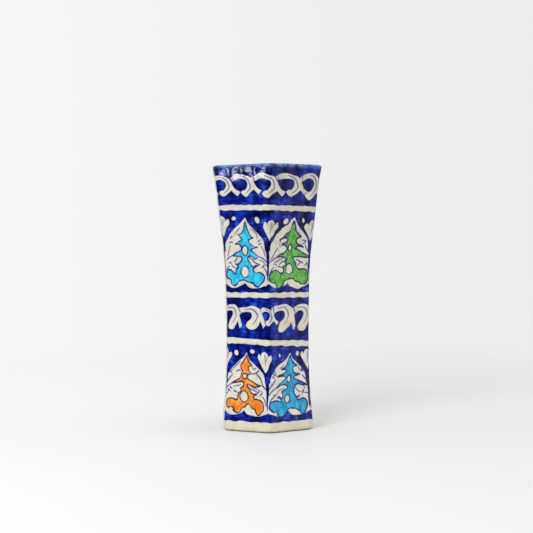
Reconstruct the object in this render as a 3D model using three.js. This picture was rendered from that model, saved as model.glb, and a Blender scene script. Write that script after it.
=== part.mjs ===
// A waisted hexagonal pottery vase with reeded faces.
//
// The body is six wall slabs, mitred at the vertical corners and luted edge to edge round a floor
// slab. Every face carries four shallow upright reeds that are strongest at the flared rim and die
// away at the foot. Millimetres, +Z up, origin on the table at the middle of the foot, one corner
// of the hexagon facing -Y.

import * as THREE from 'three';

// Driving dimensions.
const HEIGHT = 300;
const WALL_THICKNESS = 6;
const FLOOR_THICKNESS = 7;
const FLOOR_RECESS = 2.5;
const SEAM_GAP = 0.3;
const LIP_RISE = 3;
const FOOT_ROUNDING = 3;
const CORNER_ROUNDING = 2.4;
const REEDS_PER_FACE = 4;
const REED_DEPTH_RIM = 1.2;
const REED_DEPTH_BODY = 0.75;
const REED_FADE_START = 12;
const REED_FADE_END = 62;
const REED_FLARE_START = 190;

// Distance from the axis to a corner of the hexagon at heights from the foot to the rim: a slightly
// splayed foot, a slim waist and a flaring mouth.
const CORNER_STATIONS = [
  [0, 58.0],
  [12, 58.3],
  [34, 55.7],
  [66, 53.5],
  [115, 53.0],
  [160, 53.8],
  [200, 56.2],
  [240, 61.1],
  [272, 65.2],
  [300, 69.2],
];

// How finely the curved surfaces are faceted.
const SEGMENTS_PER_REED = 4;
const OUTER_ROWS = 18;
const INNER_ROWS = 9;
const LIP_SEGMENTS = 4;
const FOOT_SEGMENTS = 3;

const FACE_COUNT = 6;
const HALF_FACE_ANGLE = Math.PI / FACE_COUNT;
const MITRE_SLOPE = Math.tan(HALF_FACE_ANGLE);
const EDGE_SETBACK = SEAM_GAP / 2 / Math.cos(HALF_FACE_ANGLE);
const FLOOR_TOP = FLOOR_RECESS + FLOOR_THICKNESS;

const glazedCobalt = new THREE.MeshStandardMaterial({ color: 0x1f2f96, roughness: 0.15, metalness: 0 });
const creamGlaze = new THREE.MeshStandardMaterial({ color: 0xded6c2, roughness: 0.3, metalness: 0 });

function smoothStep(start, end, value) {
  const x = THREE.MathUtils.clamp((value - start) / (end - start), 0, 1);
  return x * x * (3 - 2 * x);
}

// Slope of the corner line at one station, from its two neighbours.
function stationSlope(index) {
  const before = CORNER_STATIONS[Math.max(index - 1, 0)];
  const after = CORNER_STATIONS[Math.min(index + 1, CORNER_STATIONS.length - 1)];
  return (after[1] - before[1]) / (after[0] - before[0]);
}

// Distance from the axis to the hexagon's corner at height z, a smooth cubic through the stations.
function cornerRadius(z) {
  const last = CORNER_STATIONS.length - 2;
  const index = Math.min(last, CORNER_STATIONS.findLastIndex((station) => station[0] <= z));
  const [z0, r0] = CORNER_STATIONS[index];
  const [z1, r1] = CORNER_STATIONS[index + 1];
  const span = z1 - z0;
  const x = (z - z0) / span;
  const m0 = stationSlope(index) * span;
  const m1 = stationSlope(index + 1) * span;
  const startPart = (1 + 2 * x) * (1 - x) ** 2 * r0 + x * (1 - x) ** 2 * m0;
  const endPart = x ** 2 * (3 - 2 * x) * r1 - x ** 2 * (1 - x) * m1;
  return startPart + endPart;
}

// Distance from the axis to the middle of a flat face at height z.
function apothem(z) {
  return cornerRadius(z) * Math.cos(HALF_FACE_ANGLE);
}

function reedDepth(z) {
  const flare = smoothStep(REED_FLARE_START, HEIGHT, z);
  const fade = smoothStep(REED_FADE_START, REED_FADE_END, z);
  return fade * THREE.MathUtils.lerp(REED_DEPTH_BODY, REED_DEPTH_RIM, flare);
}

// The closed outline of a wall slab's section. Each point has its distance from the axis before
// the reeds are added, its height, and how much of the reeds' depth it carries. Beside the floor
// the inner side is upright.
function wallSection() {
  const points = [];
  for (let i = 0; i < FOOT_SEGMENTS; i++) {
    const angle = (i / FOOT_SEGMENTS) * (Math.PI / 2);
    const inset = FOOT_ROUNDING * (1 - Math.sin(angle));
    const z = FOOT_ROUNDING * (1 - Math.cos(angle));
    points.push({ distance: apothem(z) - inset, z, reed: 1 });
  }
  const lipStart = HEIGHT - LIP_RISE;
  for (let i = 0; i < OUTER_ROWS; i++) {
    const z = THREE.MathUtils.lerp(FOOT_ROUNDING, lipStart, i / OUTER_ROWS);
    points.push({ distance: apothem(z), z, reed: 1 });
  }
  for (let i = 0; i <= LIP_SEGMENTS; i++) {
    const angle = (i / LIP_SEGMENTS) * Math.PI;
    const inset = (WALL_THICKNESS / 2) * (1 - Math.cos(angle));
    const z = lipStart + LIP_RISE * Math.sin(angle);
    points.push({ distance: apothem(z) - inset, z, reed: (1 + Math.cos(angle)) / 2 });
  }
  for (let i = 1; i <= INNER_ROWS; i++) {
    const z = THREE.MathUtils.lerp(lipStart, FLOOR_TOP, i / INNER_ROWS);
    points.push({ distance: apothem(z) - WALL_THICKNESS, z, reed: 0 });
  }
  points.push({ distance: apothem(FLOOR_TOP) - WALL_THICKNESS, z: 0, reed: 0 });
  return points;
}

// Height of the reeds above the flat face, from 0 in each valley to 1 on each crest, where across
// runs from -1 to 1 over the face.
function reedHeight(across) {
  const phase = ((across + 1) / 2) * REEDS_PER_FACE;
  const local = phase - Math.floor(phase);
  return 4 * local * (1 - local);
}

// Fills one mitred end of the slab, which is flat.
function addMitreFace(indices, section, column, ringSize, flipped) {
  const outline = section.map((point) => new THREE.Vector2(point.distance, point.z));
  for (const [a, b, c] of THREE.ShapeUtils.triangulateShape(outline, [])) {
    const start = column * ringSize;
    const triangle = flipped ? [start + a, start + c, start + b] : [start + a, start + b, start + c];
    indices.push(...triangle);
  }
}

// One wall slab, its outer face towards +X.
function wallPanelGeometry() {
  const section = wallSection();
  const columns = REEDS_PER_FACE * SEGMENTS_PER_REED;
  const ringSize = section.length;
  const cornerLoss = CORNER_ROUNDING * (1 - Math.cos(HALF_FACE_ANGLE));
  const positions = [];
  for (let column = 0; column <= columns; column++) {
    const across = (2 * column) / columns - 1;
    const isEdge = column === 0 || column === columns;
    for (const { distance, z, reed } of section) {
      const edgeDistance = distance - reed * cornerLoss;
      const halfWidth = edgeDistance * MITRE_SLOPE - EDGE_SETBACK;
      const reeded = distance + reed * reedDepth(z) * reedHeight(across);
      positions.push(isEdge ? edgeDistance : reeded, across * halfWidth, z);
    }
  }
  const indices = [];
  for (let column = 0; column < columns; column++) {
    for (let i = 0; i < ringSize; i++) {
      const next = (i + 1) % ringSize;
      const a = column * ringSize + i;
      const b = column * ringSize + next;
      const c = a + ringSize;
      const d = b + ringSize;
      indices.push(a, c, d, a, d, b);
    }
  }
  addMitreFace(indices, section, 0, ringSize, false);
  addMitreFace(indices, section, columns, ringSize, true);
  const geometry = new THREE.BufferGeometry();
  geometry.setAttribute('position', new THREE.Float32BufferAttribute(positions, 3));
  geometry.setIndex(indices);
  geometry.computeVertexNormals();
  return geometry;
}

// The hexagonal floor, let in between the walls a little above the table.
function floorGeometry() {
  const reach = apothem(FLOOR_TOP) - WALL_THICKNESS - SEAM_GAP;
  const radius = reach / Math.cos(HALF_FACE_ANGLE);
  const outline = new THREE.Shape();
  for (let i = 0; i < FACE_COUNT; i++) {
    const angle = (2 * i + 1) * HALF_FACE_ANGLE;
    const move = i === 0 ? 'moveTo' : 'lineTo';
    outline[move](radius * Math.cos(angle), radius * Math.sin(angle));
  }
  outline.closePath();
  return new THREE.ExtrudeGeometry(outline, { depth: FLOOR_THICKNESS, bevelEnabled: false });
}

const PANEL_NAMES = ['right', 'back_right', 'back_left', 'left', 'front_left', 'front_right'];

const vase = new THREE.Group();

PANEL_NAMES.forEach((side, index) => {
  const panel = new THREE.Mesh(wallPanelGeometry(), glazedCobalt);
  panel.name = `wall_panel_${side}`;
  panel.rotation.z = index * 2 * HALF_FACE_ANGLE;
  vase.add(panel);
});

const floorSlab = new THREE.Mesh(floorGeometry(), creamGlaze);
floorSlab.name = 'floor_slab';
floorSlab.position.z = FLOOR_RECESS;
vase.add(floorSlab);

export default vase;
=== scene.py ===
"""A hand-painted talavera vase: hexagonal, waisted, with reeded faces and a flared mouth.

The script builds one detailed wall piece for each of the CAD model's six wall panels, and a floor.
The walls share one continuous surface, worked out on a grid that runs round the vase, and the
painting is worked out on the same grid as distances to brush strokes, which the glaze material
turns into colour. Lengths are in millimetres until they reach Blender.
"""
import math

import bpy
import numpy as np
from mathutils import Matrix, Vector


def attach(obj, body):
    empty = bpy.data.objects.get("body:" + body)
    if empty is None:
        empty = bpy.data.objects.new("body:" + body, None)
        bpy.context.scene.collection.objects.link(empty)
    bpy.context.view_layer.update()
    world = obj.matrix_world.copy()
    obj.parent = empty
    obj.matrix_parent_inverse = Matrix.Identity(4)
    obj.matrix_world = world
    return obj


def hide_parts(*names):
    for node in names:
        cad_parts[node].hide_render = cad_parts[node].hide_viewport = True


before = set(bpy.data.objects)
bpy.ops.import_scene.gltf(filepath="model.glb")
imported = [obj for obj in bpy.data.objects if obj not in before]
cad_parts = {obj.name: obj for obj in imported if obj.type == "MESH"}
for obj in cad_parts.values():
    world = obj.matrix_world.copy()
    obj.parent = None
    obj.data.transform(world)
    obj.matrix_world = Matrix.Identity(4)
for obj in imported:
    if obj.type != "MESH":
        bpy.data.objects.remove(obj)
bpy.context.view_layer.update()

MM = 0.001

# ---------------------------------------------------------------------------------------------
# Driving dimensions. All but two are the CAD model's: here the foot's edge is rounder, and the lip
# flares a little more, which is what gives it its highlights.

HEIGHT = 300.0
WALL_THICKNESS = 6.0
FLOOR_THICKNESS = 7.0
FLOOR_RECESS = 2.5
FLOOR_TOP = FLOOR_RECESS + FLOOR_THICKNESS
LIP_RISE = 3.0
FOOT_ROUNDING = 4.0
LIP_FLARE = 0.9
REEDS_PER_FACE = 4
REED_DEPTH_RIM = 1.2
REED_DEPTH_BODY = 0.75
REED_FADE_START = 12.0
REED_FADE_END = 62.0
REED_FLARE_START = 190.0

# Height, and distance from the axis to a corner of the hexagon.
CORNER_STATIONS = [
    (0, 58.0), (12, 58.3), (34, 55.7), (66, 53.5), (115, 53.0),
    (160, 53.8), (200, 56.2), (240, 61.1), (272, 65.2), (300, 69.2),
]

FACE_COUNT = 6
HALF_FACE_ANGLE = math.pi / FACE_COUNT

# Wall pieces in the order in which a lap round the vase meets them, from the front corner.
FACE_NAMES = ["front_right", "right", "back_right", "back_left", "left", "front_left"]
FIRST_NORMAL_ANGLE = math.radians(-60)
MEAN_FACE_WIDTH = 55.0

# How finely the walls are meshed.
COLUMNS_PER_FACE = 132
SKIN_ROW_STEP = 0.48
INNER_ROW_STEP = 4.0
LIP_ROWS = 12
FOOT_ROWS = 6

# How uneven and how soft the clay and its glaze are.
SURFACE_WANDER = 0.16
RIM_DIP = 0.8
REED_DIP = 0.1
CORNER_SOFTNESS = 1.3
FOOT_SOFTNESS = 1.2
FOOT_EDGE_SOFTNESS = 2.4

# ---------------------------------------------------------------------------------------------
# The painting's layout. Heights are above the table. "Lap" is the distance round the vase in
# faces: 0 at the front corner, 1 at the next corner to the right, 6 back at the front corner.

FAR = 9.0  # distances to paint are kept within this many millimetres
SHAKE = 0.55  # how far the painter's hand strays


def wander(lap, height, seed, reach, waves=6, longest=2, shortest=9):
    """A smooth random wave over the vase, between about -reach and reach, seamless round it."""
    rng = np.random.default_rng(seed)
    total = np.zeros(np.broadcast(lap, height).shape)
    for _ in range(waves):
        turns = rng.integers(longest, shortest + 1)
        rise = rng.uniform(-1, 1) * turns / (FACE_COUNT * MEAN_FACE_WIDTH)
        phase = rng.uniform(0, 2 * math.pi)
        total = total + np.sin(2 * math.pi * (turns * lap / FACE_COUNT + rise * height) + phase)
    return reach * total / math.sqrt(waves)


def smooth_step(start, end, value):
    x = np.clip((value - start) / (end - start), 0, 1)
    return x * x * (3 - 2 * x)


def smooth_curve(points, steps=5):
    """A Catmull-Rom curve through points, ends included. Extra values in a point are carried."""
    points = np.asarray(points, float)
    if len(points) < 3:
        return points
    padded = np.vstack([2 * points[0] - points[1], points, 2 * points[-1] - points[-2]])
    curve = []
    for p0, p1, p2, p3 in zip(padded[:-3], padded[1:-2], padded[2:-1], padded[3:]):
        for x in np.arange(steps) / steps:
            curve.append(0.5 * (2 * p1 + (p2 - p0) * x + (2 * p0 - 5 * p1 + 4 * p2 - p3) * x ** 2
                                + (3 * p1 - p0 - 3 * p2 + p3) * x ** 3))
    curve.append(points[-1])
    return np.array(curve)


def segment_gap(x, y, a, b):
    """Where on the segment from a (0) to b (1) each point's nearest place is, and its distance."""
    dx, dy = b[0] - a[0], b[1] - a[1]
    along = np.clip(((x - a[0]) * dx + (y - a[1]) * dy) / max(dx * dx + dy * dy, 1e-9), 0, 1)
    return along, np.hypot(x - a[0] - along * dx, y - a[1] - along * dy)


def stroke(x, y, points):
    """Signed distance to a brush stroke, positive inside. Points are x, y and half width."""
    nearest = np.full(x.shape, -FAR)
    for a, b in zip(points[:-1], points[1:]):
        along, gap = segment_gap(x, y, a, b)
        nearest = np.maximum(nearest, a[2] + along * (b[2] - a[2]) - gap)
    return nearest


def region(x, y, outline):
    """Signed distance to the edge of a closed outline, positive inside."""
    inside = np.zeros(x.shape, bool)
    nearest = np.full(x.shape, FAR)
    for a, b in zip(outline, np.roll(outline, -1, axis=0)):
        nearest = np.minimum(nearest, segment_gap(x, y, a, b)[1])
        if a[1] != b[1]:
            crossing = (a[1] > y) != (b[1] > y)
            inside ^= crossing & (x < a[0] + (y - a[1]) * (b[0] - a[0]) / (b[1] - a[1]))
    return np.where(inside, nearest, -nearest)


def outline_from(runs):
    """A closed outline from smooth runs of points that meet in sharp corners."""
    pieces = []
    start = runs[-1][-1]
    for run in runs:
        pieces.append(smooth_curve([start] + run, steps=4)[:-1])
        start = run[-1]
    return np.vstack(pieces)


def ellipse(x, y, radius_x, radius_y, lean=0.0):
    turns = np.linspace(0, 2 * math.pi, 18, endpoint=False)
    return np.column_stack([x + radius_x * np.cos(turns) + lean * np.sin(turns),
                            y + radius_y * np.sin(turns)])


# ---------------------------------------------------------------------------------------------
# Motifs. In an arch, x is a percentage of a face's width from the arch's middle and y is a
# percentage of the arch's height above its foot. Each outline is a list of smooth runs, and the
# brush turned a sharp corner where one run meets the next.

TREE_EDGE_HALF_WIDTH = 0.8
OVAL_EDGE_HALF_WIDTH = 0.7
LEAF_LINE_HALF_WIDTH = 0.78
ARCH_RUNS = [
    [(3, 95), (8, 89), (17, 82), (28, 75), (37, 67), (42, 59), (45, 48)],
    [(57, 47), (57, 2)],
    [(48, 1)],
    [(39, -3), (28, -5), (15, -5), (5, -2), (-2, 3)],
    [(-10, -1), (-22, -4), (-36, -4), (-48, 1)],
    [(-57, 2), (-57, 47)],
    [(-45, 48)],
    [(-44, 60), (-39, 69), (-31, 77), (-20, 85), (-9, 92), (0, 100)],
]
DIVIDER = [(50, 66, 3.4), (50, 55, 2.6), (50, 45, 1.9), (50, 30, 1.4), (50, 14, 0.9), (50, 5, 0.3)]

# A tree's x is counted from its trunk, which stands "lean" percent to the right of the arch's
# middle. An oval is its middle, its half width and half height, and its lean.
TREES = {
    "turquoise": {
        "colour": "turquoise", "lean": 5,
        "outline": [
            [(2, 85), (5, 78), (9, 71), (14, 69)], [(7, 67), (5, 63), (9, 60), (14, 57), (21, 56)],
            [(12, 54), (7, 50)], [(13, 47), (25, 42)], [(17, 38), (11, 41), (5, 42), (1, 41)],
            [(0, 37), (5, 32), (8, 28)], [(13, 26), (20, 28)],
            [(14, 25), (12, 20), (18, 18), (27, 18), (35, 15), (38, 10), (34, 4)],
            [(29, 0), (22, -3), (15, -1), (12, 3)], [(8, 3), (5, 5)], [(-1, 6), (-8, 8), (-15, 7)],
            [(-21, 5), (-26, 1), (-34, -1), (-40, 2), (-40, 7)], [(-44, 9), (-48, 9)],
            [(-50, 14), (-46, 20), (-40, 21), (-35, 18), (-30, 15)], [(-28, 19), (-26, 23)],
            [(-22, 26), (-24, 30)], [(-16, 33), (-12, 38), (-14, 42), (-21, 42), (-32, 43)],
            [(-23, 47), (-13, 50)], [(-11, 55), (-16, 59), (-25, 60)],
            [(-15, 63), (-10, 66), (-13, 70), (-19, 73)], [(-10, 75), (-5, 81), (0, 93)],
        ],
        "ovals": [(-4, 50, 6, 7, 0), (-7, 20, 10, 8.5, 0)],
        "lines": [
            [(-29, 71), (-33, 71), (-35, 68)], [(-31, 63), (-36, 64), (-40, 62)],
            [(-31, 44), (-41, 41), (-48, 36)], [(-21, 42), (-25, 37), (-30, 34)],
            [(-44, 31), (-38, 33), (-35, 29)], [(-42, 27), (-47, 23), (-51, 19)],
            [(-20, 29), (-27, 31)], [(-24, 24), (-34, 27)], [(-30, 15), (-38, 21), (-45, 22)],
            [(31, 67), (25, 64)], [(32, 61), (26, 60)], [(24, 42), (33, 40), (44, 32)],
            [(2, 41), (11, 36), (18, 32), (28, 30)], [(15, 25), (22, 28), (27, 29)],
            [(31, 24), (37, 28)], [(35, 25), (41, 19), (43, 13)],
        ],
        "washes": [
            [(-12, 85), (-19, 79), (-26, 73)], [(-36, 60), (-41, 52), (-46, 42)],
            [(10, 83), (18, 79), (23, 73), (23, 67)], [(30, 58), (35, 52), (40, 41)],
            [(24, 37), (34, 35), (42, 27)],
        ],
    },
    "green": {
        "colour": "green", "lean": 9,
        "outline": [
            [(3, 86), (5, 80), (9, 75), (17, 71)], [(9, 69), (6, 65), (10, 60), (21, 57)],
            [(11, 56), (5, 53)], [(15, 50), (28, 45), (42, 41)], [(28, 40), (16, 42), (5, 42), (0, 40)],
            [(3, 36), (8, 32)], [(8, 27), (14, 23), (25, 23), (35, 20), (40, 13), (38, 5)],
            [(31, 1), (22, 1), (18, 4)], [(12, 5), (5, 8), (2, 11)], [(-8, 9), (-15, 8)],
            [(-21, 5), (-24, -1), (-31, -5), (-36, -4), (-38, 0), (-42, 3)], [(-47, 3), (-53, 4)],
            [(-55, 10), (-52, 17), (-46, 20), (-38, 20), (-29, 17)], [(-22, 20), (-23, 26)],
            [(-17, 29), (-19, 35)], [(-15, 40), (-25, 42), (-36, 41)],
            [(-27, 46), (-15, 50), (-14, 54)], [(-17, 57), (-25, 60)],
            [(-15, 63), (-12, 67), (-22, 70), (-30, 66)], [(-18, 74), (-10, 77), (-5, 83), (0, 93)],
        ],
        "ovals": [(-7, 55, 4.5, 5.5, 1), (-8, 24, 9, 8.5, 0)],
        "lines": [
            [(-12, 73), (-20, 70), (-31, 66), (-28, 61)], [(-19, 58), (-26, 58)],
            [(-36, 41), (-46, 38), (-55, 31)], [(-13, 38), (-24, 34), (-32, 30)],
            [(-47, 30), (-41, 31), (-38, 27)], [(-46, 26), (-52, 20), (-56, 13)],
            [(-22, 25), (-34, 28)], [(10, 70), (18, 71)], [(20, 66), (28, 64), (21, 60)],
            [(9, 57), (24, 56)], [(28, 42), (43, 38)], [(8, 38), (18, 34), (27, 31)],
            [(9, 27), (18, 32)], [(30, 27), (36, 32)], [(35, 30), (44, 25)],
            [(-36, 55), (-44, 46), (-53, 37)], [(27, 60), (34, 51), (41, 42)],
        ],
        "washes": [
            [(-34, 63), (-30, 56)], [(7, 79), (17, 72)], [(-22, 41), (-34, 36), (-44, 34)],
        ],
    },
    "orange": {
        "colour": "orange", "lean": 1,
        "outline": [
            [(4, 88), (7, 84), (11, 80)], [(4, 77), (3, 73), (6, 69), (9, 66)], [(3, 64), (0, 62)],
            [(2, 56), (13, 53), (22, 49), (31, 46)], [(18, 44), (8, 46), (2, 47)],
            [(3, 43), (9, 38), (13, 32), (23, 30)], [(17, 27), (19, 22)],
            [(28, 22), (36, 18), (40, 11), (38, 5), (33, 1)], [(31, -2), (27, -3)], [(22, 1), (20, 6)],
            [(14, 9), (8, 14), (3, 14), (-2, 9)], [(-7, 8), (-12, 5)], [(-15, 1), (-20, -1), (-27, 3)],
            [(-27, 7), (-34, 9), (-40, 6)],
            [(-45, 10), (-45, 17), (-41, 22), (-34, 23), (-26, 20), (-20, 21)], [(-19, 26), (-18, 31)],
            [(-12, 36), (-14, 41)], [(-8, 44), (-6, 49)], [(-12, 52), (-22, 50), (-36, 47)],
            [(-26, 52), (-15, 57), (-12, 62), (-9, 67)], [(-9, 70), (-13, 74)],
            [(-14, 79), (-8, 84), (0, 95)],
        ],
        "ovals": [(-4, 60, 5, 4.5, 1), (-5, 27, 9, 9.5, 0)],
        "lines": [
            [(-33, 70), (-38, 74)], [(-41, 66), (-38, 69), (-35, 64)],
            [(-13, 69), (-20, 70), (-27, 68)], [(-34, 63), (-43, 54), (-50, 46)],
            [(-35, 47), (-45, 43), (-51, 35)], [(-33, 37), (-38, 41)], [(-36, 33), (-42, 38)],
            [(-40, 35), (-48, 28), (-51, 21)], [(-20, 32), (-29, 35)], [(17, 71), (21, 74)],
            [(8, 67), (16, 66), (26, 68)], [(23, 64), (28, 70)], [(25, 65), (31, 58), (38, 47)],
            [(30, 47), (39, 45), (46, 39)], [(10, 40), (19, 37), (28, 33)], [(30, 29), (36, 34)],
            [(24, 31), (28, 36)], [(37, 29), (43, 21), (45, 13)], [(13, 31), (23, 31)],
        ],
        "washes": [
            [(-16, 85), (-25, 79), (-33, 73)], [(-13, 47), (-22, 44), (-31, 41)], [(9, 82), (15, 74)],
            [(10, 44), (24, 40), (38, 36)],
        ],
    },
    "second_turquoise": {
        "colour": "deep_turquoise", "lean": 7,
        "outline": [
            [(4, 87), (8, 82), (14, 78)], [(7, 77), (4, 73), (6, 67), (12, 64), (22, 62)],
            [(10, 60), (4, 57)], [(12, 54), (28, 50), (38, 45)], [(22, 47), (12, 45), (5, 38)],
            [(5, 31), (9, 27)], [(14, 26), (19, 28)],
            [(11, 24), (15, 21), (26, 22), (34, 20), (38, 14), (37, 7)],
            [(32, 1), (25, -4), (19, -2), (17, 3)], [(12, 4), (7, 8)], [(-1, 8), (-10, 5)],
            [(-14, 0), (-20, -3), (-27, -5), (-34, -3), (-38, 3)], [(-44, 2), (-49, 6)],
            [(-52, 12), (-50, 18), (-45, 20), (-36, 19), (-28, 16)], [(-25, 21), (-33, 26)],
            [(-23, 23), (-20, 29), (-23, 34)], [(-17, 37), (-10, 40), (-11, 45), (-21, 47), (-36, 43)],
            [(-27, 49), (-18, 53), (-12, 57), (-18, 61), (-31, 62)],
            [(-18, 65), (-12, 69), (-14, 73), (-22, 73)], [(-12, 78), (-6, 86), (0, 95)],
        ],
        "ovals": [(-6, 56, 4.5, 6.5, 1), (-10, 23, 6, 7.5, 0)],
        "lines": [
            [(-12, 74), (-23, 73)], [(-35, 64), (-41, 70)], [(-34, 61), (-44, 66)],
            [(-38, 57), (-45, 61)], [(-17, 61), (-26, 64), (-33, 61)],
            [(-38, 57), (-46, 49), (-54, 40)], [(-37, 43), (-46, 39), (-54, 31)],
            [(-37, 32), (-47, 26), (-52, 19)], [(-37, 31), (-43, 30)], [(-26, 22), (-35, 25)],
            [(25, 66), (28, 71)], [(22, 69), (30, 68)], [(27, 62), (32, 58), (38, 53)],
            [(16, 51), (31, 49), (42, 42)], [(6, 41), (16, 36), (26, 33)], [(28, 28), (31, 35)],
            [(30, 32), (42, 30)],
        ],
        "washes": [
            [(-16, 82), (-25, 75)], [(17, 78), (22, 71)], [(-15, 41), (-27, 38), (-36, 33)],
            [(6, 42), (12, 47), (24, 48), (34, 41), (26, 33)],
        ],
    },
}

# A tulip stands on its point between two arches. Millimetres from the point.
TULIP_HEIGHT = 24.0
TULIP_RUNS = [
    [(2.8, 5), (6.3, 10.8), (9.4, 15.6), (9, 19.8)],
    [(6.5, 19.3), (4.6, 17.4)],
    [(4, 21), (0.8, 24), (-2.4, 22), (-4, 18.2)],
    [(-5.4, 20.6), (-7.6, 20.2)],
    [(-8.8, 16), (-6.2, 11), (-2.6, 5), (0, 0)],
]
TULIP_WASHES = [
    [(0.8, 21, 0.4), (1.0, 15, 0.65), (-0.2, 8, 0.3)],
    [(3.0, 19.5, 0.3), (3.0, 16.5, 0.5), (2.2, 13.5, 0.3)],
]

# A wave of the running scroll is a hook with a tail. In an open wave the tail hangs clear of the
# next hook, and in a ringed one it curls in under it. x is a percentage of the wave's length, y of
# its height. A third number is half a stroke's width in millimetres.
WAVE_MIDDLE = 0.65
WAVE_SWELL = 0.25
SCROLLS = {
    "open": {
        "outline": [
            [(22, 95), (48, 99), (74, 98), (92, 88), (101, 76), (107, 57), (115, 36), (124, 18)],
            [(112, 5)],
            [(103, 22), (97, 34)],
            [(86, 17), (74, 4), (57, 0), (41, 4), (33, 15)],
            [(41, 30), (57, 46), (65, 62), (59, 74), (39, 78), (20, 73), (11, 65)],
            [(2, 62)],
            [(-6, 86)],
        ],
        "washes": [
            [(26, 86, 0.4), (48, 89, 0.65), (70, 83, 0.75), (83, 65, 0.75), (83, 48, 0.7),
             (66, 26, 0.4)],
        ],
        "lines": [
            [(-3, 97, 0.4), (4, 83, 0.65), (12, 68, 0.5)],
        ],
    },
    "ring": {
        "outline": [
            [(21, 99), (45, 99), (70, 92), (86, 84), (97, 70), (103, 54), (112, 36), (128, 26),
             (141, 21)],
            [(124, 5)],
            [(108, 19), (97, 30)],
            [(85, 18), (70, 5), (60, 0), (46, 8), (38, 20)],
            [(45, 26), (61, 29), (72, 42), (75, 58), (67, 73), (50, 80), (32, 79), (18, 74)],
            [(4, 70)],
            [(-7, 84)],
        ],
        "washes": [
            [(43, 94, 0.4), (66, 84, 0.7), (81, 68, 0.8), (87, 47, 0.8), (81, 30, 0.7),
             (64, 16, 0.4)],
        ],
        "lines": [
            [(-2, 98, 0.3), (3, 86, 0.5), (8, 72, 0.4)],
            [(31, 11, 0.4), (38, 20, 0.6), (46, 30, 0.4)],
        ],
    },
}

PIGMENTS = {"deep_turquoise": 0.0, "turquoise": 0.3, "green": 0.6, "orange": 1.0}

# Rows of arches: foot and tip heights, the lap of the first arch's middle, the mean distance from
# the axis to a corner, and the trees in the order in which they go round. A tulip is its lap, the
# height of its point and its lean; a dot is its lap, height, half width, half height and lean.
ARCH_ROWS = [
    {"foot": 165.0, "tip": 241.0, "start": -0.53, "radius": 57.4, "seed": 11,
     "trees": ["turquoise", "green", "orange", "second_turquoise", "green", "orange"],
     "tulips": [(0.012, 214, 1.7), (0.955, 214, -0.8), (1.98, 216, 0.8), (2.97, 213.5, -1.2),
                (3.97, 215, 1), (5.01, 219, -0.6)],
     "dots": [
         (-0.73, 239.3, 2.7, 2.3, 0.3), (-0.235, 236.4, 2.5, 3.7, -1.2), (0.36, 236, 3, 3.2, 0.8),
         (0.755, 236.3, 1.5, 2.6, -0.6), (1.24, 238.2, 2.4, 2.8, 0.4), (1.74, 236.8, 2.5, 3.2, -0.8),
         (2.3, 238, 2.8, 2.5, 0.5), (2.76, 236.6, 2.2, 3.3, -0.7), (3.27, 238.6, 2.6, 2.5, 0.2),
         (3.77, 236.2, 2.4, 3.4, -1), (4.35, 236.8, 2.8, 3, 0.7), (4.74, 236.9, 1.8, 2.9, -0.5)]},
    {"foot": 22.0, "tip": 88.8, "start": -0.54, "radius": 54.0, "seed": 23,
     "trees": ["orange", "second_turquoise", "green", "orange", "turquoise", "green"],
     "tulips": [(-0.083, 67, -2.4), (0.976, 68.5, -2.3), (1.95, 68, 1.2), (2.93, 69.5, -1),
                (3.95, 67.5, 0.9), (4.96, 70, -1)],
     "dots": [
         (-0.78, 88.3, 2.6, 3, -0.2), (-0.39, 90.7, 2.9, 2.2, 0.2), (0.26, 86, 0.9, 2.3, -0.3),
         (0.71, 87.2, 2.1, 2.9, -0.2), (1.22, 88.6, 2.4, 2.7, 0.3), (1.7, 88, 2.6, 2.5, -0.4),
         (2.24, 87.4, 2.1, 2.9, 0.2), (2.63, 90, 2.6, 2.3, 0.3), (3.25, 88.2, 2.3, 2.8, -0.3),
         (3.7, 87.2, 2.5, 2.9, -0.2), (4.24, 88.8, 2.2, 2.6, 0.4), (4.72, 87.5, 2.3, 2.8, -0.3)]},
]

# Running scrolls. The painter didn't measure the waves out: for each, in order round the vase, the
# lap at its start, its bottom and top, and how far its foot leans, as a percentage of its length.
# The last one gives only the lap where the band closes.
SCROLL_BANDS = [
    {"radius": 65.9, "seed": 37, "ringed": range(14), "waves": [
        (-1.12, 264.2, 287.8, -4), (-0.7, 264.6, 288.8, 4), (-0.305, 262.4, 288.6, 0),
        (0.155, 263.2, 288.9, 0), (0.641, 260.2, 289.6, -18), (1.05, 263.5, 288.4, 0),
        (1.48, 264.5, 289, -5), (1.9, 262.8, 287.8, 3), (2.36, 263.7, 289, -8),
        (2.78, 261.8, 288.2, 0), (3.24, 264.2, 288.8, 4), (3.66, 262.9, 289.2, -6),
        (4.06, 264, 288, 0), (4.47, 263, 288.8, -10), (4.88, 0, 0, 0)]},
    {"radius": 53.2, "seed": 41, "ringed": (2, 9), "waves": [
        (-1.1, 115, 142.8, -6), (-0.719, 115.2, 141.2, 0), (-0.194, 119.4, 139.2, 6),
        (0.094, 112.2, 143.6, -14), (0.6, 112.7, 142.6, -10), (1.05, 114.4, 142, 0),
        (1.47, 113.2, 143, -6), (1.9, 115.2, 141.6, 2), (2.33, 113.8, 142.8, -4),
        (2.78, 116.6, 140.4, 0), (3.16, 114.8, 141.8, 4), (3.64, 113.4, 143.2, -8),
        (4.06, 115, 142, 0), (4.46, 113.6, 142.4, -5), (4.84, 0, 0, 0)]},
]

# Cream lines round the vase: height of the middle, half width, tilt and seed.
CREAM_LINES = [(250.3, 3.0, 1.3, 51), (153.4, 2.9, 0.4, 53), (99.3, 3.2, 2.8, 57)]
LINE_SHAKE = 0.45
FOOT_BAND_TOP = 12.0
FOOT_BAND_SHAKE = 0.5

# Inside the mouth the cobalt ends this far below the lip, unevenly.
INNER_COBALT_DEPTH = 2.5
INNER_COBALT_SHAKE = 1.2

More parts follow.
